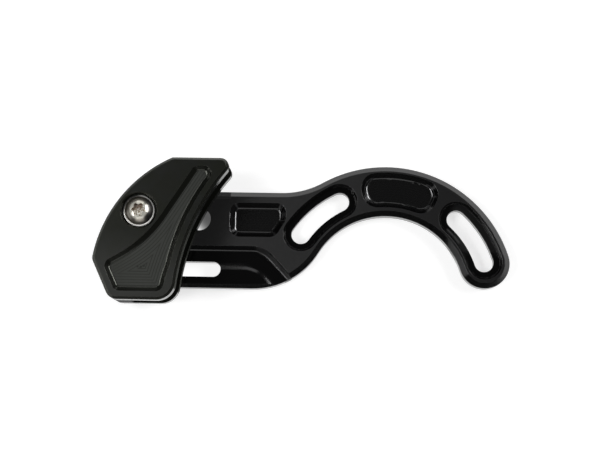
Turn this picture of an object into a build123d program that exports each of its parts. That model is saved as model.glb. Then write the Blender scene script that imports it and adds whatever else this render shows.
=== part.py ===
from build123d import *
import os
from math import atan2, cos, degrees, hypot, radians, sin, sqrt

# Bicycle chain guide: a hook-shaped mounting arm with a two-plate guide clamped in its slots.
# Millimetres and degrees. The origin is the centre of the bolt circle on the arm's back face.
# X runs along the bar towards the hook, Y towards the bar's upper edge, Z out past the chain.

# Hook and bolt slots
bolt_circle_radius = 34.0
hook_width = 16.4
bolt_slot_width = 6.2
bolt_slot_sweep = 28.5
tip_slot_angle = 33.2
neck_slot_angle = 131.1
tip_overrun = 0.6
bolt_seat_margin = 2.1
bolt_seat_depth = 2.4
bolt_seat_bevel = 0.6

# Bar
bar_top = 33.0
bar_bottom = 1.15
neck_radius = 27.0
bend_radius = 25.0
bar_end_inset = 0.8
bar_end_corner = 2.5
arm_thickness = 6.0
front_bevel = 1.7

# Milled pockets, with walls that lean out by the slope
pocket_depth = 1.9
pocket_slope = 45.0
chamfer_slope = 45.0
pocket_floor_fillet = 1.1
flat_tolerance = 0.01
bar_pocket_length = 18.5
bar_pocket_height = 11.4
bar_pocket_edge = 3.6
bar_pocket_lead = 1.6
bar_pocket_side = 5.7
bar_pocket_slant = 3.6
bar_pocket_corner = 3.3
hook_pocket_width = 11.6
hook_pocket_middle = 82.8
hook_pocket_offset = 0.3
hook_pocket_sweep = 42.0
hook_pocket_corner = 5.2

# Lower recess of the bar: a groove along its wall and a hollow ramp up to a shelf
recess_height = 13.85
recess_reach = 3.75
recess_slant = 46.5
recess_radius = 9.6
groove_width = 7.8
groove_side = 2.8
recess_depth = 1.6
shelf_depth = 0.6
ramp_slope = 55.0
ramp_hollow = 0.86

# Slide and clamp
guide_reach = 79.1
clamp_edge = 9.3
clamp_slot_width = 7.6
adjust_travel = 17.4
stop_gap = 0.3
slide_gap = 0.3
screw_diameter = 5.0
screw_clearance = 0.2
thread_clearance = 0.03
screw_tip_gap = 0.6
screw_tip_chamfer = 0.5
collar_diameter = 10.1
collar_height = 0.5
collar_bevel = 0.2
head_diameter = 9.1
head_height = 2.85
socket_depth = 1.7
socket_core = 3.4
socket_lobe = 1.3
socket_lobe_circle = 3.2
socket_lobes = 6
nut_length = 7.2
nut_width = 9.4
nut_flange = 2.2
nut_corner = 2.4
nut_back_gap = 0.3
nut_top_gap = 0.4

# Key that stops the guide from turning
key_edge = 6.05
key_slot_width = 5.0
key_lead = 4.9
key_length = 6.0
key_tip_gap = 0.6
key_foot_margin = 1.8

# Guide plates, placed from the clamp screw
inner_plate = 3.5
channel_width = 8.8
outer_plate = 4.8
plate_top = 17.35
plate_bottom = 28.35
shoulder_lead = 10.2
throat_top_lead = 31.3
throat_bottom_lead = 11.8
heel_lag = 8.5
back_lag = 14.4
back_drop = 15.7
back_radius = 43.3
throat_radius = 70.0
shoulder_corner = 2.0
throat_top_corner = 2.55
throat_bottom_corner = 6.0
heel_corner = 3.8
back_corner = 3.0
plate_bevel = 0.8
counterbore_diameter = 11.1
counterbore_depth = 1.4
counterbore_chamfer = 0.35

# Pocket of the outer plate, cut off by the rib that carries the screw
plate_pocket_depth = 1.4
rim_margin = 2.6
rim_top_side = 1.5
rim_bottom_side = 4.1
rim_side_radius = 96.0
rim_corner = 2.7
plate_floor_fillet = 1.0
rib_knee_lead = 2.0
rib_knee_drop = 9.5
rib_knee_radius = 40
rib_steep = 57.5
rib_shallow = 29.5

# Bridge between the plates, and its dowels
bridge_inset = 1.1
boss_diameter = 10.0
dowel_diameter = 2.5
dowel_depth = 1.6
dowel_clearance = 0.03
dowel_inset = 3.0
dowel_chamfer = 0.3
upper_dowel_turn = 4.6
lower_dowel_turn = 13.7

# Hook and bar, from the values above
hook_inner = bolt_circle_radius - hook_width / 2
hook_outer = bolt_circle_radius + hook_width / 2
tip_angle = tip_slot_angle - bolt_slot_sweep / 2 - tip_overrun
neck_y = bar_top + neck_radius
neck_x = -sqrt((hook_outer + neck_radius) ** 2 - neck_y**2)
neck_angle = degrees(atan2(neck_y, neck_x))
bend_y = bar_bottom + bend_radius
bend_x = -sqrt((hook_inner + bend_radius) ** 2 - bend_y**2)
bend_angle = degrees(atan2(bend_y, bend_x))
bolt_slot_angles = (tip_slot_angle, neck_slot_angle)
hook_pocket_radius = bolt_circle_radius + hook_pocket_offset

# Lower recess: the ramp's radius leaves a short flat below the shelf's edge
recess_top = bar_bottom + recess_height
recess_corner = bend_x + recess_reach
ramp_rise = recess_depth - shelf_depth
ramp_fillet = ramp_hollow * ramp_rise / (1 - sin(radians(ramp_slope)))

# Heights of the stack, and the screw's dome
inner_front = arm_thickness + inner_plate
outer_back = inner_front + channel_width
outer_front = outer_back + outer_plate
head_seat = outer_front - counterbore_depth
nut_seat = nut_back_gap + nut_flange
dome_rise = head_height - collar_height
dome_radius = (head_diameter**2 / 4 + dome_rise**2) / (2 * dome_rise)

# Places along the slide
clamp_height = bar_top - clamp_edge
key_height = bar_bottom + key_edge
key_drop = clamp_height - key_height
clamp_radius = hypot(guide_reach, clamp_height)
clamp_angle = degrees(atan2(clamp_height, -guide_reach))
bridge_radius = clamp_radius - bridge_inset
dowel_circle = bridge_radius + dowel_inset
slide_middle = -guide_reach + adjust_travel / 2
slide_length = adjust_travel + 2 * stop_gap
bar_joint = -guide_reach + shoulder_lead
key_middle = slide_middle + key_lead - key_length / 2
guide_span = plate_top + plate_bottom

dowel_angles = (clamp_angle - upper_dowel_turn, clamp_angle + lower_dowel_turn)
dowel_places = [Vector(dowel_circle, 0).rotate(Axis.Z, angle) for angle in dowel_angles]

front_plane = Plane.XY.offset(arm_thickness)


def guide_plane(height):
    """Plane at a height with its origin on the clamp screw's axis."""
    return Plane((-guide_reach, clamp_height, height))


def slot_arc(middle):
    """Centre line of an arc slot on the bolt circle."""
    start = middle - bolt_slot_sweep / 2
    return CenterArc((0, 0), bolt_circle_radius, start, bolt_slot_sweep, mode=Mode.PRIVATE)


def floors(arm, depth):
    """Flat floors at a depth below the arm's front."""
    level = arm_thickness - depth
    flats = arm.faces().filter_by(Axis.Z)
    return flats.filter_by_position(Axis.Z, level - flat_tolerance, level + flat_tolerance)


def near(edges, line):
    """Edges right of the clamp screw with their middles close to a line of edges."""
    close = [edge for edge in edges if min(e.distance_to(edge.center()) for e in line) < groove_width / 3]
    return [edge for edge in close if edge.center().X > -guide_reach]


# Outline that the plates and the bridge share: sharp corners first, then rounded
with BuildSketch() as plate_corners:
    with BuildLine():
        top_edge = Line((shoulder_lead, plate_top), (throat_top_lead, plate_top))
        throat = RadiusArc(top_edge @ 1, (throat_bottom_lead, -plate_bottom), -throat_radius)
        bottom_edge = Line(throat @ 1, (-heel_lag, -plate_bottom))
        heel = Line(bottom_edge @ 1, (-back_lag, -back_drop))
        RadiusArc(heel @ 1, top_edge @ 0, back_radius)
    make_face()

with BuildSketch() as plate_outline:
    add(plate_corners.sketch)
    for corner, corner_radius in (
        (top_edge @ 0, shoulder_corner),
        (top_edge @ 1, throat_top_corner),
        (bottom_edge @ 0, throat_bottom_corner),
        (bottom_edge @ 1, heel_corner),
        (heel @ 1, back_corner),
    ):
        fillet(plate_outline.vertices().sort_by_distance(corner)[0], corner_radius)

# Mounting arm: the hook, neck and bar in one run of tangent arcs
with BuildPart() as mounting_arm:
    with BuildSketch() as arm_outline:
        with BuildLine():
            top = Line((-guide_reach - guide_span, bar_top), (neck_x, bar_top))
            neck = JernArc(top @ 1, top % 1, neck_radius, neck_angle - 90)
            back = JernArc(neck @ 1, neck % 1, hook_outer, tip_angle - neck_angle)
            tip = JernArc(back @ 1, back % 1, hook_width / 2, -180)
            inside = JernArc(tip @ 1, tip % 1, hook_inner, bend_angle - tip_angle)
            bend = JernArc(inside @ 1, inside % 1, bend_radius, 90 - bend_angle)
            bottom = Line(bend @ 1, (-guide_reach - guide_span, bar_bottom))
            Line(bottom @ 1, top @ 0)
        make_face()
        # The free end follows the back of the guide, a little inside it
        with BuildSketch(mode=Mode.INTERSECT):
            with Locations((-guide_reach, clamp_height)):
                add(offset(plate_corners.sketch, -bar_end_inset, kind=Kind.INTERSECTION, mode=Mode.PRIVATE))
            with Locations((bar_joint, clamp_height)):
                Rectangle(2 * guide_span + guide_reach, 4 * guide_span, align=(Align.MIN, Align.CENTER))
        end_corners = arm_outline.vertices().filter_by(lambda v: v.X < bar_joint)
        fillet(end_corners, bar_end_corner)
    extrude(amount=arm_thickness)
    chamfer(mounting_arm.faces().sort_by(Axis.Z)[-1].outer_wire().edges(), front_bevel)

    # Two milled pockets: one in the bar and one along the hook
    pocket_top = bar_top - bar_pocket_edge
    pocket_right = neck_x + bar_pocket_lead
    with BuildSketch(front_plane):
        with BuildLine():
            FilletPolyline(
                (pocket_right - bar_pocket_length, pocket_top),
                (pocket_right, pocket_top),
                (pocket_right, pocket_top - bar_pocket_side),
                (pocket_right - bar_pocket_slant, pocket_top - bar_pocket_height),
                (pocket_right - bar_pocket_length, pocket_top - bar_pocket_height),
                radius=bar_pocket_corner,
                close=True,
            )
        make_face()
    extrude(amount=-pocket_depth, taper=pocket_slope, mode=Mode.SUBTRACT)
    with BuildSketch(front_plane) as hook_pocket:
        with BuildLine():
            pocket_start = hook_pocket_middle - hook_pocket_sweep / 2
            far_side = CenterArc(
                (0, 0), hook_pocket_radius + hook_pocket_width / 2, pocket_start, hook_pocket_sweep
            )
            near_side = CenterArc(
                (0, 0), hook_pocket_radius - hook_pocket_width / 2, pocket_start, hook_pocket_sweep
            )
            Line(far_side @ 0, near_side @ 0)
            Line(far_side @ 1, near_side @ 1)
        make_face()
        fillet(hook_pocket.vertices(), hook_pocket_corner)
    extrude(amount=-pocket_depth, taper=pocket_slope, mode=Mode.SUBTRACT)
    fillet(floors(mounting_arm, pocket_depth).edges(), pocket_floor_fillet)

    # Lower recess, cut around a shelf that is kept higher
    with BuildSketch(front_plane, mode=Mode.PRIVATE) as recess:
        with BuildLine():
            slant_run = guide_span
            slant_x = recess_corner + slant_run * cos(radians(recess_slant))
            slant_y = recess_top - slant_run * sin(radians(recess_slant))
            wall = FilletPolyline(
                (-guide_reach - guide_span, recess_top),
                (recess_corner, recess_top),
                (slant_x, slant_y),
                radius=recess_radius,
            )
            Polyline(wall @ 1, (-guide_reach - guide_span, slant_y), wall @ 0)
        make_face()
    with BuildSketch(Plane.XY.offset(arm_thickness - shelf_depth), mode=Mode.PRIVATE) as shelf:
        with Locations((-groove_side, -groove_width)):
            add(recess.sketch_local)
    cut = extrude(recess.sketch, amount=-recess_depth, taper=pocket_slope, mode=Mode.PRIVATE)
    kept = extrude(shelf.sketch, amount=-ramp_rise, taper=-ramp_slope, mode=Mode.PRIVATE)
    add(cut - kept, mode=Mode.SUBTRACT)
    groove_edges = floors(mounting_arm, recess_depth).sort_by(Axis.Y)[0].edges()
    fillet(near(groove_edges, shelf.sketch.edges()), ramp_fillet)
    groove_edges = floors(mounting_arm, recess_depth).sort_by(Axis.Y)[0].edges()
    fillet(near(groove_edges, recess.sketch.edges()), pocket_floor_fillet)
    # Bolt slots with sunk seats for the bolt heads
    for angle in bolt_slot_angles:
        with BuildSketch(front_plane):
            SlotArc(slot_arc(angle), bolt_slot_width + 2 * bolt_seat_margin)
        extrude(amount=-bolt_seat_depth, mode=Mode.SUBTRACT)
        with BuildSketch(front_plane):
            SlotArc(slot_arc(angle), bolt_slot_width + 2 * bolt_seat_margin + 2 * bolt_seat_bevel)
        extrude(amount=-bolt_seat_bevel, taper=chamfer_slope, mode=Mode.SUBTRACT)
        with BuildSketch(front_plane):
            SlotArc(slot_arc(angle), bolt_slot_width)
        extrude(amount=-arm_thickness, mode=Mode.SUBTRACT)

    # Clamp slot with the nut's channel behind it, and the key's slot below
    with BuildSketch(Plane((slide_middle, clamp_height, 0))):
        SlotCenterToCenter(slide_length, clamp_slot_width)
    extrude(amount=arm_thickness, mode=Mode.SUBTRACT)
    with BuildSketch(Plane((slide_middle, clamp_height, 0))):
        RectangleRounded(slide_length + nut_length, nut_width + 2 * slide_gap, nut_corner)
    extrude(amount=nut_seat, mode=Mode.SUBTRACT)
    with BuildSketch(Plane((key_middle, key_height, 0))):
        SlotCenterToCenter(slide_length + key_length, key_slot_width)
    extrude(amount=arm_thickness, mode=Mode.SUBTRACT)

# Inner plate, with the key that runs in the arm's lower slot
with BuildPart() as inner_guide_plate:
    with BuildSketch(guide_plane(arm_thickness)):
        add(plate_outline.sketch)
    extrude(amount=inner_plate)
    key_plane = Plane((-guide_reach + key_lead - key_length / 2, key_height, arm_thickness))
    with BuildSketch(key_plane):
        SlotCenterToCenter(key_length, key_slot_width - 2 * slide_gap + 2 * key_foot_margin)
    extrude(amount=-shelf_depth)
    with BuildSketch(key_plane):
        SlotCenterToCenter(key_length, key_slot_width - 2 * slide_gap)
    extrude(amount=key_tip_gap - arm_thickness)
    with Locations(guide_plane(inner_front)):
        Hole(screw_diameter / 2 + screw_clearance)
    with BuildSketch(Plane.XY.offset(inner_front)):
        with Locations(*dowel_places):
            Circle(dowel_diameter / 2 + dowel_clearance)
    extrude(amount=-dowel_depth, mode=Mode.SUBTRACT)

# Bridge that holds the plates apart behind the chain
with BuildPart() as chain_bridge:
    with BuildSketch(guide_plane(inner_front)):
        add(plate_outline.sketch)
        with Locations((guide_reach, -clamp_height)):
            Circle(bridge_radius, mode=Mode.SUBTRACT)
        Circle(boss_diameter / 2)
    extrude(amount=channel_width)
    with Locations(guide_plane(outer_back)):
        Hole(screw_diameter / 2 + screw_clearance)
    with BuildSketch(Plane.XY.offset(inner_front)):
        with Locations(*dowel_places):
            Circle(dowel_diameter / 2 + dowel_clearance)
    extrude(amount=channel_width, mode=Mode.SUBTRACT)

# Outer plate, with its milled pocket and the screw's counterbore
with BuildPart() as outer_guide_plate:
    with BuildSketch(guide_plane(outer_back)):
        add(plate_outline.sketch)
    extrude(amount=outer_plate)
    chamfer(outer_guide_plate.faces().sort_by(Axis.Z)[-1].outer_wire().edges(), plate_bevel)
    with BuildSketch(guide_plane(outer_front)) as plate_pocket:
        add(offset(plate_corners.sketch, -rim_margin, kind=Kind.INTERSECTION, mode=Mode.PRIVATE))
        with BuildLine():
            knee = Vector(rib_knee_lead, -rib_knee_drop)
            steep_end = knee + Vector(guide_span, 0).rotate(Axis.Z, rib_steep)
            shallow_end = knee - Vector(guide_span, 0).rotate(Axis.Z, rib_shallow)
            rib = FilletPolyline(steep_end, knee, shallow_end, radius=rib_knee_radius)
            Polyline(rib @ 1, (shallow_end.X, steep_end.Y), rib @ 0)
        make_face(mode=Mode.SUBTRACT)
        with BuildLine():
            side_top = Vector(throat_top_lead - rim_top_side, plate_top)
            side_bottom = Vector(throat_bottom_lead - rim_bottom_side, -plate_bottom)
            side = RadiusArc(side_top, side_bottom, -rim_side_radius)
            far = Vector(guide_span, 0)
            Polyline(side_bottom, side_bottom + far, side_top + far, side_top)
        make_face(mode=Mode.SUBTRACT)
        fillet(plate_pocket.vertices(), rim_corner)
    extrude(amount=-plate_pocket_depth, taper=pocket_slope, mode=Mode.SUBTRACT)
    plate_floor = outer_guide_plate.faces().filter_by(Axis.Z).sort_by(Axis.Z)[1]
    fillet(plate_floor.edges(), plate_floor_fillet)
    with Locations(guide_plane(outer_front)):
        CounterBoreHole(
            screw_diameter / 2 + screw_clearance, counterbore_diameter / 2, counterbore_depth
        )
    with BuildSketch(guide_plane(outer_front)):
        Circle(counterbore_diameter / 2 + counterbore_chamfer)
    extrude(amount=-counterbore_chamfer, taper=chamfer_slope, mode=Mode.SUBTRACT)
    with BuildSketch(Plane.XY.offset(outer_back)):
        with Locations(*dowel_places):
            Circle(dowel_diameter / 2 + dowel_clearance)
    extrude(amount=dowel_depth, mode=Mode.SUBTRACT)

# Clamp screw with a collar, a domed head and a six-lobed socket
with BuildPart() as clamp_screw:
    with BuildSketch(Plane((-guide_reach, clamp_height, head_seat), (1, 0, 0), (0, -1, 0))):
        with BuildLine():
            seat = Line((0, 0), (collar_diameter / 2, 0))
            collar = Polyline(
                seat @ 1,
                (collar_diameter / 2, collar_height - collar_bevel),
                (collar_diameter / 2 - collar_bevel, collar_height),
                (head_diameter / 2, collar_height),
            )
            dome = RadiusArc(collar @ 1, (0, head_height), -dome_radius)
            Line(dome @ 1, seat @ 0)
        make_face()
    revolve(axis=Axis((-guide_reach, clamp_height, 0), (0, 0, 1)))
    with BuildSketch(guide_plane(head_seat)):
        Circle(screw_diameter / 2)
    extrude(amount=screw_tip_gap - head_seat)
    chamfer(clamp_screw.edges().group_by(Axis.Z)[0], screw_tip_chamfer)
    with BuildSketch(guide_plane(head_seat + head_height)):
        Circle(socket_core / 2)
        with PolarLocations(socket_lobe_circle / 2, socket_lobes):
            Circle(socket_lobe / 2)
    extrude(amount=-socket_depth, mode=Mode.SUBTRACT)

# Slide nut: its shank runs in the clamp slot and its flange in the channel behind
with BuildPart() as slide_nut:
    with BuildSketch(guide_plane(nut_back_gap)):
        RectangleRounded(nut_length, nut_width, nut_corner)
    extrude(amount=nut_flange)
    with BuildSketch(guide_plane(nut_seat)):
        Circle(clamp_slot_width / 2 - slide_gap)
    extrude(amount=arm_thickness - nut_top_gap - nut_seat)
    with Locations(guide_plane(arm_thickness - nut_top_gap)):
        Hole(screw_diameter / 2 + thread_clearance)

# Two dowels that key the plates and the bridge together
with BuildPart() as locating_dowels:
    with BuildSketch(Plane.XY.offset(inner_front - dowel_depth)):
        with Locations(*dowel_places):
            Circle(dowel_diameter / 2)
    extrude(amount=channel_width + 2 * dowel_depth)
    chamfer(locating_dowels.edges().filter_by(GeomType.CIRCLE), dowel_chamfer)

os.makedirs("parts", exist_ok=True)
pieces = {
    "mounting_arm": mounting_arm,
    "inner_guide_plate": inner_guide_plate,
    "chain_bridge": chain_bridge,
    "outer_guide_plate": outer_guide_plate,
    "clamp_screw": clamp_screw,
    "slide_nut": slide_nut,
    "locating_dowels": locating_dowels,
}
for name, piece in pieces.items():
    piece.part.label = name
    export_step(piece.part, f"parts/{name}.step")
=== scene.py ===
import math

import bpy
from mathutils import Matrix, Vector

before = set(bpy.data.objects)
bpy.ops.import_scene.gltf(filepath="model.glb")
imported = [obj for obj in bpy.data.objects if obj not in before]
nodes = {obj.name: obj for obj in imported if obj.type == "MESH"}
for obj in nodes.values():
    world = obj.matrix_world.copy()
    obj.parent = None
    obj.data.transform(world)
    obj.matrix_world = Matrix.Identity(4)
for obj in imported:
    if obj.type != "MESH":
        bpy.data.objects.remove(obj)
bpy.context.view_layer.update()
scene = bpy.context.scene

MM = 0.001
MICRON = 0.000001

# Places and radii on the part in millimetres, and directions in degrees, in the shared frame
bolt_centre = (0.0, 0.0)
screw_axis = (-79.1, 23.7)
throat_centre = (23.0, -22.2)
throat_radius = 96.0
rib_bend = (-77.1, 14.2)
rib_directions = (57.5, 29.5)
plate_pocket_foot = -2.0
recess_corner = (-39.8, 15.0)
recess_direction = -46.5

# A soft limit is a pair: the value where a finish is absent, then the value where it is full
level_face = (0.9, 0.97)

# Most values of a noise lie in this range
middle_of_noise = (0.3, 0.7)


class Graph:
    """Short calls for building one material's node tree, with places in millimetres."""

    def __init__(self, name):
        self.material = bpy.data.materials.new(name)
        self.material.use_nodes = True
        self.tree = self.material.node_tree
        self.tree.nodes.clear()
        self.output = self.tree.nodes.new("ShaderNodeOutputMaterial")
        scaled = self.node("VectorMath", operation="SCALE")
        self.put(scaled.inputs[0], self.node("TexCoord").outputs["Object"])
        scaled.inputs["Scale"].default_value = 1.0 / MM
        self.place = scaled.outputs[0]
        self.x, self.y, self.z = self.split(self.place)

    def node(self, kind, **values):
        made = self.tree.nodes.new("ShaderNode" + kind)
        for key, value in values.items():
            setattr(made, key, value)
        return made

    def put(self, socket, value):
        """Links a socket, or sets a constant on it."""
        if isinstance(value, bpy.types.NodeSocket):
            self.tree.links.new(value, socket)
        else:
            socket.default_value = value

    def split(self, vector):
        """X, Y and Z of a vector."""
        made = self.node("SeparateXYZ")
        self.put(made.inputs[0], vector)
        return tuple(made.outputs)

    def facing(self):
        """How far the smoothed surface faces along X and along Z."""
        across, _, up = self.split(self.node("NewGeometry").outputs["Normal"])
        return across, up

    def math(self, operation, *values):
        made = self.node("Math", operation=operation)
        for socket, value in zip(made.inputs, values):
            self.put(socket, value)
        return made.outputs[0]

    def product(self, *values):
        """All values multiplied together."""
        result = values[0]
        for value in values[1:]:
            result = self.math("MULTIPLY", result, value)
        return result

    def reverse(self, mask):
        return self.math("SUBTRACT", 1.0, mask)

    def soft(self, value, limit):
        """Mask that rises from 0 to 1 across a soft limit."""
        made = self.node("MapRange", interpolation_type="SMOOTHSTEP")
        for socket, number in zip(made.inputs, (value, *limit, 0.0, 1.0)):
            self.put(socket, number)
        return made.outputs[0]

    def band(self, value, limits):
        """Mask between two soft limits."""
        return self.product(*[self.soft(value, limit) for limit in limits])

    def box(self, x_limits, y_limits):
        """Mask for a rectangle in X and Y."""
        return self.product(self.band(self.x, x_limits), self.band(self.y, y_limits))

    def span(self, value, source, result):
        """A source range mapped to a result range, and held at its ends."""
        made = self.node("MapRange")
        for socket, number in zip(made.inputs, (value, *source, *result)):
            self.put(socket, number)
        return made.outputs[0]

    def vary(self, noise, low, high):
        """A number that follows the middle of a noise's range."""
        return self.span(noise, middle_of_noise, (low, high))

    def blend(self, factor, a, b):
        """Number between two numbers."""
        made = self.node("Mix", data_type="FLOAT")
        self.put(made.inputs[0], factor)
        self.put(made.inputs[2], a)
        self.put(made.inputs[3], b)
        return made.outputs[0]

    def mix(self, factor, a, b):
        """Colour between two colours."""
        made = self.node("Mix", data_type="RGBA")
        self.put(made.inputs[0], factor)
        self.put(made.inputs[6], a)
        self.put(made.inputs[7], b)
        return made.outputs[2]

    def grained(self, noise, dark, pale):
        """Colour that follows the middle of a noise's range."""
        return self.mix(self.vary(noise, 0.0, 1.0), dark, pale)

    def layered(self, colour, *layers):
        """A colour with others laid over it, each given as (mask, colour)."""
        for mask, over in layers:
            colour = self.mix(mask, colour, over)
        return colour

    def added(self, value, *parts):
        """A number with others added to it, each given as (mask, amount)."""
        for mask, amount in parts:
            value = self.math("ADD", value, self.math("MULTIPLY", mask, amount))
        return value

    def noise(self, scale, detail=2.0, roughness=0.5, vector=None):
        """Noise over the part, with its scale in cells per millimetre."""
        made = self.node("TexNoise")
        self.put(made.inputs["Vector"], self.place if vector is None else vector)
        made.inputs["Scale"].default_value = scale
        made.inputs["Detail"].default_value = detail
        made.inputs["Roughness"].default_value = roughness
        return made.outputs["Fac"]

    def radius(self, centre):
        """Distance in X and Y from a centre."""
        dx = self.math("SUBTRACT", self.x, centre[0])
        dy = self.math("SUBTRACT", self.y, centre[1])
        squares = self.math("ADD", self.math("MULTIPLY", dx, dx), self.math("MULTIPLY", dy, dy))
        return self.math("SQRT", squares)

    def line(self, through, direction):
        """Signed distance in X and Y from a line, positive on its right."""
        angle = math.radians(direction)
        from_x = self.math("MULTIPLY", self.math("SUBTRACT", self.x, through[0]), math.sin(angle))
        from_y = self.math("MULTIPLY", self.math("SUBTRACT", self.y, through[1]), math.cos(angle))
        return self.math("SUBTRACT", from_x, from_y)

    def surface(self, colour, roughness, heights, edge, **constants):
        """Principled surface with rounded edges and stacked bumps, given as (height, distance in metres)."""
        shader = self.node("BsdfPrincipled")
        self.put(shader.inputs["Base Color"], colour)
        self.put(shader.inputs["Roughness"], roughness)
        for name, value in constants.items():
            self.put(shader.inputs[name.replace("_", " ")], value)
        rounded = self.node("Bevel", samples=6)
        rounded.inputs["Radius"].default_value = edge
        normal = rounded.outputs[0]
        for height, distance in heights:
            bump = self.node("Bump")
            bump.inputs["Distance"].default_value = distance
            self.put(bump.inputs["Height"], height)
            self.put(bump.inputs["Normal"], normal)
            normal = bump.outputs[0]
        self.put(shader.inputs["Normal"], normal)
        self.put(self.output.inputs["Surface"], shader.outputs[0])
        return self.material


def dress(name, material):
    """One material on every slot of a CAD node."""
    mesh = nodes[name].data
    mesh.materials.clear()
    mesh.materials.append(material)


def pocket_end_walls(g, across):
    """Mask for painted glints: the end walls of the arm's two pockets get a bright metallic colour, so that
    they mirror the lamps.
    """
    wall_z = (3.7, 3.9)
    foot_z = (4.95, 4.6)
    bar_x = ((-54.0, -53.5), (-32.0, -32.5))
    bar_y = ((17.0, 17.5), (30.3, 29.9))
    hook_x = ((-10.5, -10.0), (19.0, 18.5))
    hook_reach = ((27.9, 28.1), (40.4, 40.2))
    bar_only = (-15.0, -20.0)
    dark_corner_x = ((-40.0, -39.0), (-20.0, -21.0))
    dark_corner_y = (24.0, 23.5)
    end_wall = (0.2, 0.45)
    hook = g.product(g.band(g.radius(bolt_centre), hook_reach), g.band(g.x, hook_x))
    pockets = g.math("MAXIMUM", g.box(bar_x, bar_y), hook)
    dark_corner = g.product(g.band(g.x, dark_corner_x), g.soft(g.y, dark_corner_y))
    glint_zone = g.math("MAXIMUM", g.soft(g.z, foot_z), g.soft(g.x, bar_only))
    ends = g.soft(g.math("ABSOLUTE", across), end_wall)
    return g.product(pockets, g.soft(g.z, wall_z), ends, g.reverse(dark_corner), glint_zone)


def tip_ledge(g, flat):
    """Masks for the pale ledge of the tip slot's seat, and for a painted glint along the seat's inner side.
    """
    ledge_z = ((3.3, 3.45), (3.9, 3.75))
    ledge_x = (20.0, 24.0)
    ledge_y = (12.5, 15.5)
    glint_reach = ((29.2, 29.5), (30.1, 29.8))
    glint_start = (35.4, (0.3, -0.6))
    glint_end = (48.0, (-0.3, 0.8))
    ledge = g.product(g.band(g.z, ledge_z), flat, g.soft(g.x, ledge_x), g.soft(g.y, ledge_y))
    tip_glint = g.product(g.band(g.radius(bolt_centre), glint_reach), g.soft(g.z, ledge_z[0]))
    for direction, limit in (glint_start, glint_end):
        tip_glint = g.product(tip_glint, g.soft(g.line(bolt_centre, direction), limit))
    return ledge, tip_glint


def dull_walls(g, flat, up):
    """Masks with amounts of roughness for the arm's cut walls that are duller than the others."""
    slant_width = ((0.3, 0.6), (3.0, 2.6))
    slant_x = (-44.0, -41.0)
    slant_lean = (0.995, 0.97)
    ramp_from_slant = (3.2, 3.8)
    ramp_x = (-56.0, -54.0)
    ramp_y = ((2.6, 3.2), (13.0, 12.0))
    ramp_lean = (0.999, 0.98)
    tip_reach = (28.6, 28.2)
    tip_x = (19.0, 22.0)
    tip_y = (10.0, 16.0)
    bevel_x = (-51.0, -51.5)
    bevel_y = (30.4, 30.9)
    bevel_lean = (0.3, 0.5)
    from_corner = g.line(recess_corner, recess_direction)
    slant = g.product(g.band(from_corner, slant_width), g.soft(g.x, slant_x), g.soft(up, slant_lean))
    ramp = g.product(g.soft(from_corner, ramp_from_slant), g.soft(g.x, ramp_x), g.band(g.y, ramp_y))
    ramp = g.product(ramp, g.soft(up, ramp_lean))
    reach = g.radius(bolt_centre)
    inside_tip = g.product(g.soft(reach, tip_reach), g.soft(g.x, tip_x), g.soft(g.y, tip_y), g.reverse(flat))
    covered_bevel = g.product(g.soft(g.x, bevel_x), g.soft(g.y, bevel_y), g.soft(up, bevel_lean))
    ramp_amount = g.span(g.x, (-48.0, -43.0), (0.13, 0.0))
    return (slant, 0.22), (ramp, ramp_amount), (inside_tip, 0.3), (covered_bevel, 0.7)


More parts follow.
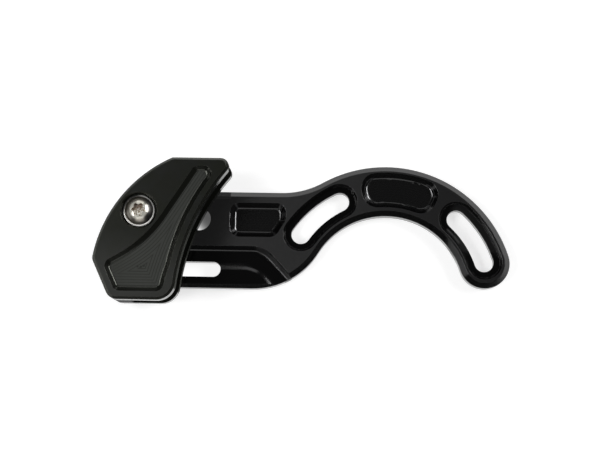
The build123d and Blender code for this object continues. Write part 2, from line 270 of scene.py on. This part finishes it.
def arm_material():
    """Black anodised bar: a blasted front face with painted shade towards the hook, milled pocket floors,
    and glossy cut walls and seats, with painted glints on the pockets' end walls and on the tip slot's seat.
    """
    face_z = (5.7, 5.95)
    pocket_floor_z = ((3.9, 4.05), (4.3, 4.15))
    pocket_floor_y = (15.5, 16.5)
    curved_passes_x = (-27.0, -24.0)
    pass_width = 0.4
    pass_ridge = (0.12, 0.0)
    wall_roughness = 0.14
    face_roughness = 0.4
    floor_roughness = 0.12
    ledge_roughness = 0.2
    g = Graph("anodised_arm")
    across, up = g.facing()
    flat = g.soft(up, level_face)
    face = g.product(g.soft(g.z, face_z), flat)
    floor = g.product(g.band(g.z, pocket_floor_z), g.soft(g.y, pocket_floor_y), flat)
    cut = g.product(pocket_end_walls(g, across), g.reverse(g.math("MAXIMUM", face, floor)))
    ledge, tip_glint = tip_ledge(g, flat)
    grain = g.noise(scale=5.0, detail=3.0, roughness=0.6)
    cloud = g.span(g.noise(scale=0.05), (0.35, 0.65), (0.0, 0.35))
    mottle = g.span(g.noise(scale=1.1, detail=3.0, roughness=0.6), (0.4, 0.7), (0.0, 0.5))
    # Painted shade: the blasted face grows darker towards the hook.
    painted_shade_towards_hook = g.span(g.x, (-20.0, 15.0), (0.0, 0.7))
    blasted = g.layered(
        g.grained(grain, (0.0105, 0.0106, 0.0108, 1), (0.0145, 0.0147, 0.015, 1)),
        (cloud, (0.0075, 0.0075, 0.0076, 1)),
        (mottle, (0.0055, 0.0055, 0.0057, 1)),
        (painted_shade_towards_hook, (0.0035, 0.0035, 0.0037, 1)),
    )
    walls = g.layered(
        g.grained(grain, (0.0012, 0.0012, 0.0013, 1), (0.0022, 0.0022, 0.0023, 1)),
        # Painted glints: a bright metallic colour on the end walls of the pockets.
        (cut, (0.13, 0.13, 0.133, 1)),
        (ledge, (0.008, 0.008, 0.0082, 1)),
        # Painted glint on the inner side of the tip slot's seat.
        (tip_glint, (0.07, 0.07, 0.071, 1)),
    )
    along = g.blend(g.soft(g.x, curved_passes_x), g.y, g.radius(bolt_centre))
    passes = g.math("PINGPONG", along, pass_width)
    ridge = g.soft(passes, pass_ridge)
    milled = g.mix(ridge, (0.0016, 0.0016, 0.0017, 1), (0.0045, 0.0045, 0.0046, 1))
    colour = g.layered(walls, (floor, milled), (face, blasted))
    smoother_hook = g.span(g.x, (-10.0, 25.0), (0.0, -0.07))
    roughness = g.added(
        g.math("ADD", g.blend(face, wall_roughness, face_roughness), g.vary(grain, -0.02, 0.03)),
        (floor, floor_roughness),
        (face, smoother_hook),
        (ledge, ledge_roughness),
        *dull_walls(g, flat, up),
    )
    heights = ((grain, 8 * MICRON), (g.product(passes, floor), 6 * MICRON))
    return g.surface(colour, roughness, heights, edge=0.18 * MM, Metallic=cut, IOR=1.6)


def contour_passes(g, throat):
    """Height of the cutter's passes in the plate's pocket, which run parallel to its walls."""
    rib_rounding = 7.0
    pass_width = 0.45
    steep, shallow = [g.line(rib_bend, direction) for direction in rib_directions]
    rib = g.math("SMOOTH_MAX", steep, shallow, rib_rounding)
    foot = g.math("SUBTRACT", g.y, plate_pocket_foot)
    from_wall = g.math("MINIMUM", g.math("MINIMUM", throat, rib), foot)
    return g.math("PINGPONG", from_wall, pass_width)


def plate_material(name, edge_roughness):
    """Black anodised plate: a satin face with a painted sheen towards the bottom, cut walls that shine, and
    a floor with contour passes and painted shade in its lower-left corner.
    """
    face_z = (22.9, 23.05)
    floor_z = ((21.4, 21.6), (21.95, 21.8))
    outside_counterbore = (6.0, 6.4)
    groove_depth = (0.2, 0.02)
    lift_marks = ((-79.0, 5.9), (-77.9, 5.7), (-77.0, 6.1))
    lift_mark_size = (0.45, 0.2)
    dark_corner = (-88.5, 3.5)
    throat_wall = (0.9, 0.96)
    behind_throat = (12.0, 16.0)
    back_wall = (-0.2, -0.4)
    face_roughness = 0.3
    floor_roughness = 0.15
    throat_roughness = 0.7
    back_roughness = 0.3
    g = Graph(name)
    across, up = g.facing()
    flat = g.soft(up, level_face)
    face = g.product(g.soft(g.z, face_z), flat)
    floor = g.product(g.band(g.z, floor_z), flat, g.soft(g.radius(screw_axis), outside_counterbore))
    throat = g.math("SUBTRACT", g.radius(throat_centre), throat_radius)
    passes = contour_passes(g, throat)
    grain = g.noise(scale=6.0, detail=3.0, roughness=0.6)
    cloud = g.noise(scale=0.045)
    patch = g.span(g.noise(scale=0.17, detail=3.0), (0.45, 0.65), (0.0, 0.7))
    # Painted sheen: the satin face grows paler towards the bottom, patchy with a broad noise.
    painted_sheen = g.product(g.span(g.y, (18.0, -3.0), (0.0, 1.0)), g.vary(cloud, 0.5, 1.0))
    satin = g.layered(
        g.grained(grain, (0.0052, 0.0058, 0.0038, 1), (0.0078, 0.0086, 0.0058, 1)),
        (g.span(cloud, (0.35, 0.65), (0.0, 0.5)), (0.0062, 0.0064, 0.0062, 1)),
        (patch, (0.0088, 0.0093, 0.0096, 1)),
        (painted_sheen, (0.036, 0.0365, 0.0355, 1)),
    )
    walls = g.grained(grain, (0.0046, 0.0049, 0.0038, 1), (0.0066, 0.007, 0.0055, 1))
    groove = g.product(g.soft(passes, groove_depth), floor)
    lifts = 0.0
    for mark in lift_marks:
        lifts = g.math("MAXIMUM", lifts, g.soft(g.radius(mark), lift_mark_size))
    milled = g.layered(
        g.mix(groove, (0.033, 0.0345, 0.0325, 1), (0.0065, 0.007, 0.006, 1)),
        (lifts, (0.004, 0.0042, 0.0038, 1)),
        # Painted shade: the milled floor darkens towards its lower-left corner.
        (g.span(g.radius(dark_corner), (2.0, 11.0), (0.55, 0.0)), (0.0125, 0.013, 0.012, 1)),
    )
    colour = g.layered(walls, (face, satin), (floor, milled))
    back_rim = g.product(g.soft(throat, behind_throat), g.soft(across, back_wall))
    roughness = g.added(
        g.math("ADD", g.blend(face, edge_roughness, face_roughness), g.vary(grain, -0.02, 0.03)),
        (floor, floor_roughness),
        (g.soft(across, throat_wall), throat_roughness),
        (back_rim, back_roughness),
    )
    heights = ((grain, 6 * MICRON), (g.product(passes, floor), 14 * MICRON))
    olive_gloss = (0.97, 1.0, 0.89, 1)
    return g.surface(colour, roughness, heights, edge=0.1 * MM, IOR=1.6, Specular_Tint=olive_gloss)


def fine_bands(g, distance):
    """Noise in fine bands that follow a distance and the height, as turning and grinding leave them."""
    bands_per_mm = 9.0
    made = g.node("TexNoise", noise_dimensions="1D")
    g.put(made.inputs["W"], g.math("MULTIPLY", g.math("ADD", distance, g.z), bands_per_mm))
    made.inputs["Scale"].default_value = 1.0
    made.inputs["Detail"].default_value = 3.0
    return made.outputs["Fac"]


def screw_material():
    """Stainless screw: a bright crown, a socket painted near-white for glare with brown speckle and a
    browner upper side, a dark shoulder with painted shade on its right, and a collar with painted light
    towards the bottom and painted shade on its upper left.
    """
    collar_ring = (4.55, 4.65)
    shoulder_ring = (2.6, 3.3)
    socket_ring = (2.4, 2.3)
    socket_z = (24.1, 23.9)
    speckle_range = (0.42, 0.6)
    lit_direction = -12.0
    browner_direction = 191.0
    shaded_direction = 228.0
    crown_metal = 0.5
    less_metal = 0.4
    crown_roughness = 0.17
    shoulder_roughness = 0.3
    g = Graph("turned_screw")
    ring = g.radius(screw_axis)
    fine = fine_bands(g, ring)
    smudge = g.span(g.noise(scale=0.6), (0.4, 0.7), (0.0, 0.5))
    speckle = g.soft(g.noise(scale=1.7), speckle_range)
    collar = g.soft(ring, collar_ring)
    shoulder = g.math("SUBTRACT", g.soft(ring, shoulder_ring), collar)
    socket = g.product(g.soft(ring, socket_ring), g.soft(g.z, socket_z))
    # Painted light: the collar is paler towards the bottom.
    painted_lit_side = g.span(g.line(screw_axis, lit_direction), (-4.0, 3.2), (0.0, 1.0))
    # The socket is browner on its upper side.
    browner_side = g.span(g.line(screw_axis, browner_direction), (-0.4, 0.9), (0.0, 0.8))
    shaded_side = g.span(g.line(screw_axis, shaded_direction), (2.4, 3.8), (0.0, 0.95))
    # Painted shade: the shoulder is darker on its right.
    painted_shade_right = g.span(g.math("SUBTRACT", g.x, screw_axis[0]), (1.0, 3.0), (0.0, 1.0))
    # Painted glare: the socket is near-white, with brown speckle.
    inside = g.layered(
        (1.0, 0.98, 0.92, 1),
        (speckle, (0.35, 0.29, 0.2, 1)),
        (browner_side, (0.16, 0.1, 0.065, 1)),
    )
    colour = g.layered(
        g.mix(fine, (0.8, 0.78, 0.69, 1), (0.92, 0.9, 0.81, 1)),
        (smudge, (0.66, 0.62, 0.52, 1)),
        (socket, inside),
        (shoulder, g.mix(painted_shade_right, (0.42, 0.39, 0.34, 1), (0.15, 0.145, 0.14, 1))),
        (collar, g.mix(painted_lit_side, (0.36, 0.36, 0.35, 1), (1.0, 0.99, 0.96, 1))),
        (g.product(collar, shaded_side), (0.015, 0.015, 0.015, 1)),
    )
    metal = g.blend(shoulder, crown_metal, 1.0)
    # The socket and the collar are made mostly non-metal, so that their pale colours show as painted glare
    # and painted light.
    metal = g.math("SUBTRACT", metal, g.math("MULTIPLY", g.math("ADD", socket, collar), less_metal))
    roughness = g.blend(shoulder, crown_roughness, shoulder_roughness)
    roughness = g.math("ADD", roughness, g.vary(fine, -0.03, 0.03))
    return g.surface(colour, roughness, ((fine, 4 * MICRON),), edge=0.12 * MM, Metallic=metal)


def dowel_material():
    """Ground steel pins with fine bands."""
    g = Graph("ground_dowels")
    fine = fine_bands(g, g.math("ADD", g.x, g.y))
    colour = g.mix(fine, (0.6, 0.59, 0.56, 1), (0.72, 0.71, 0.68, 1))
    roughness = g.vary(fine, 0.24, 0.34)
    return g.surface(colour, roughness, ((fine, 3 * MICRON),), edge=0.12 * MM, Metallic=1.0)


def blasted_material():
    """Bead-blasted steel bar with faint lengthwise drawing marks."""
    drawing_scale = (0.25, 2.4, 2.4)
    g = Graph("blasted_nut")
    stretch = g.node("Mapping")
    g.put(stretch.inputs["Vector"], g.place)
    stretch.inputs["Scale"].default_value = drawing_scale
    drawn = g.noise(scale=1.0, detail=3.0, vector=stretch.outputs[0])
    grain = g.noise(scale=4.0)
    colour = g.grained(drawn, (0.5, 0.5, 0.49, 1), (0.68, 0.68, 0.67, 1))
    roughness = g.vary(grain, 0.5, 0.6)
    heights = ((drawn, 6 * MICRON), (grain, 6 * MICRON))
    return g.surface(colour, roughness, heights, edge=0.12 * MM, Metallic=0.55)


def nylon_material():
    """Moulded black nylon with a spark-eroded grain."""
    g = Graph("black_nylon")
    grain = g.noise(scale=2.2, detail=4.0, roughness=0.65)
    flow = g.noise(scale=0.12)
    colour = g.grained(grain, (0.009, 0.009, 0.009, 1), (0.016, 0.016, 0.0158, 1))
    roughness = g.math("ADD", g.vary(grain, 0.6, 0.7), g.vary(flow, -0.05, 0.05))
    return g.surface(colour, roughness, ((grain, 30 * MICRON),), edge=0.2 * MM, Specular_IOR_Level=0.25)


dress("mounting_arm", arm_material())
dress("outer_guide_plate", plate_material("anodised_outer_plate", edge_roughness=0.2))
dress("inner_guide_plate", plate_material("anodised_inner_plate", edge_roughness=0.14))
dress("chain_bridge", nylon_material())
dress("clamp_screw", screw_material())
dress("slide_nut", blasted_material())
dress("locating_dowels", dowel_material())


def floor_glow(g):
    """Strength of the floor's glow: below the upper slot it is painted light that fades to painted shade,
    and below the lower slot it is raised as painted light.
    """
    open_floor = 0.68
    dimmest = 0.09
    brightest = 1.0
    painted_light_raise = 0.22
    fade_power = 4.5
    upper_slot_x = ((-70.0, -68.0), (-56.0, -57.0))
    upper_slot_y = ((18.0, 19.0), (29.0, 28.0))
    lower_slot_x = ((-76.0, -75.0), (-47.0, -48.0))
    lower_slot_y = ((3.0, 4.0), (12.0, 11.0))
    # Painted light and shade: the glow below the upper slot fades from bright to dim along the diagonal.
    diagonal = g.span(g.math("ADD", g.x, g.y), (-41.7, -32.0), (1.0, 0.0))
    painted_light_and_shade = g.blend(g.math("POWER", diagonal, fade_power), dimmest, brightest)
    strength = g.blend(g.box(upper_slot_x, upper_slot_y), open_floor, painted_light_and_shade)
    return g.added(strength, (g.box(lower_slot_x, lower_slot_y), painted_light_raise))


def floor_material():
    """White studio floor: the lamps give it its shadows, and the camera and gloss see it as white, apart
    from the painted shade and light below the slots.
    """
    g = Graph("studio_floor")
    shade = g.node("BsdfDiffuse")
    g.put(shade.inputs["Color"], g.mix(g.noise(scale=0.02), (0.58, 0.58, 0.58, 1), (0.6, 0.6, 0.6, 1)))
    path = g.node("LightPath")
    seen = g.math("MAXIMUM", path.outputs["Is Camera Ray"], path.outputs["Is Glossy Ray"])
    seen = g.math("MAXIMUM", seen, path.outputs["Is Transmission Ray"])
    glow = g.node("Emission")
    glow.inputs["Color"].default_value = (1, 1, 1, 1)
    g.put(glow.inputs["Strength"], g.math("MULTIPLY", seen, floor_glow(g)))
    both = g.node("AddShader")
    g.put(both.inputs[0], shade.outputs[0])
    g.put(both.inputs[1], glow.outputs[0])
    g.put(g.output.inputs["Surface"], both.outputs[0])
    return g.material


floor_size = 6.0
floor_gap = 0.05 * MM
bpy.ops.mesh.primitive_plane_add(size=floor_size, location=(0.0, 0.0, -floor_gap))
ground = bpy.context.object
ground.name = "studio_floor"
ground.data.materials.append(floor_material())


def aim(obj, position, target, up):
    """Puts a camera or lamp at a position, looking at a target with a given upward direction."""
    ahead = (Vector(target) - Vector(position)).normalized()
    right = ahead.cross(Vector(up)).normalized()
    rise = right.cross(ahead)
    turn = Matrix((right, rise, -ahead)).transposed().to_4x4()
    obj.matrix_world = Matrix.Translation(Vector(position)) @ turn


def softbox(name, position, width, height, brightness):
    """Area lamp aimed at the part's middle, whose power follows from its brightness and size."""
    middle = (-0.028, 0.02, 0.0)
    upward = (0, 1, 0.01)
    data = bpy.data.lights.new(name, "AREA")
    data.shape = "RECTANGLE"
    data.size = width
    data.size_y = height
    data.energy = brightness * math.pi * width * height
    lamp = bpy.data.objects.new(name, data)
    scene.collection.objects.link(lamp)
    aim(lamp, position, middle, upward)


softbox("left_softbox", (-0.47, -0.06, 0.54), width=0.22, height=0.5, brightness=7.5)
softbox("right_softbox", (0.68, 0.34, 0.55), width=0.3, height=0.68, brightness=8.5)
softbox("front_softbox", (-0.02, -0.6, 0.42), width=0.7, height=0.4, brightness=0.9)
softbox("back_softbox", (-0.05, 0.64, 0.34), width=0.5, height=0.26, brightness=0.9)
softbox("left_low_strip", (-0.75, -0.2, 0.11), width=0.16, height=0.5, brightness=0.7)

world = bpy.data.worlds.new("studio")
scene.world = world
world.use_nodes = True
background = world.node_tree.nodes["Background"]
background.inputs["Color"].default_value = (1, 1, 1, 1)
background.inputs["Strength"].default_value = 0.03

image_width_pixels = 600.0
focal_length_pixels = 1447.4
camera_roll = math.radians(1.153)
camera_data = bpy.data.cameras.new("camera")
camera_data.sensor_width = 36.0
camera_data.lens = focal_length_pixels / image_width_pixels * camera_data.sensor_width
camera_data.clip_start = 0.01
camera = bpy.data.objects.new("camera", camera_data)
scene.collection.objects.link(camera)
aim(
    camera,
    position=(-14.69 * MM, -45.0 * MM, 475.6 * MM),
    target=(-28.24 * MM, 22.18 * MM, 6.0 * MM),
    up=(-math.sin(camera_roll), math.cos(camera_roll), 0.0),
)
scene.camera = camera

scene.view_settings.view_transform = "Standard"
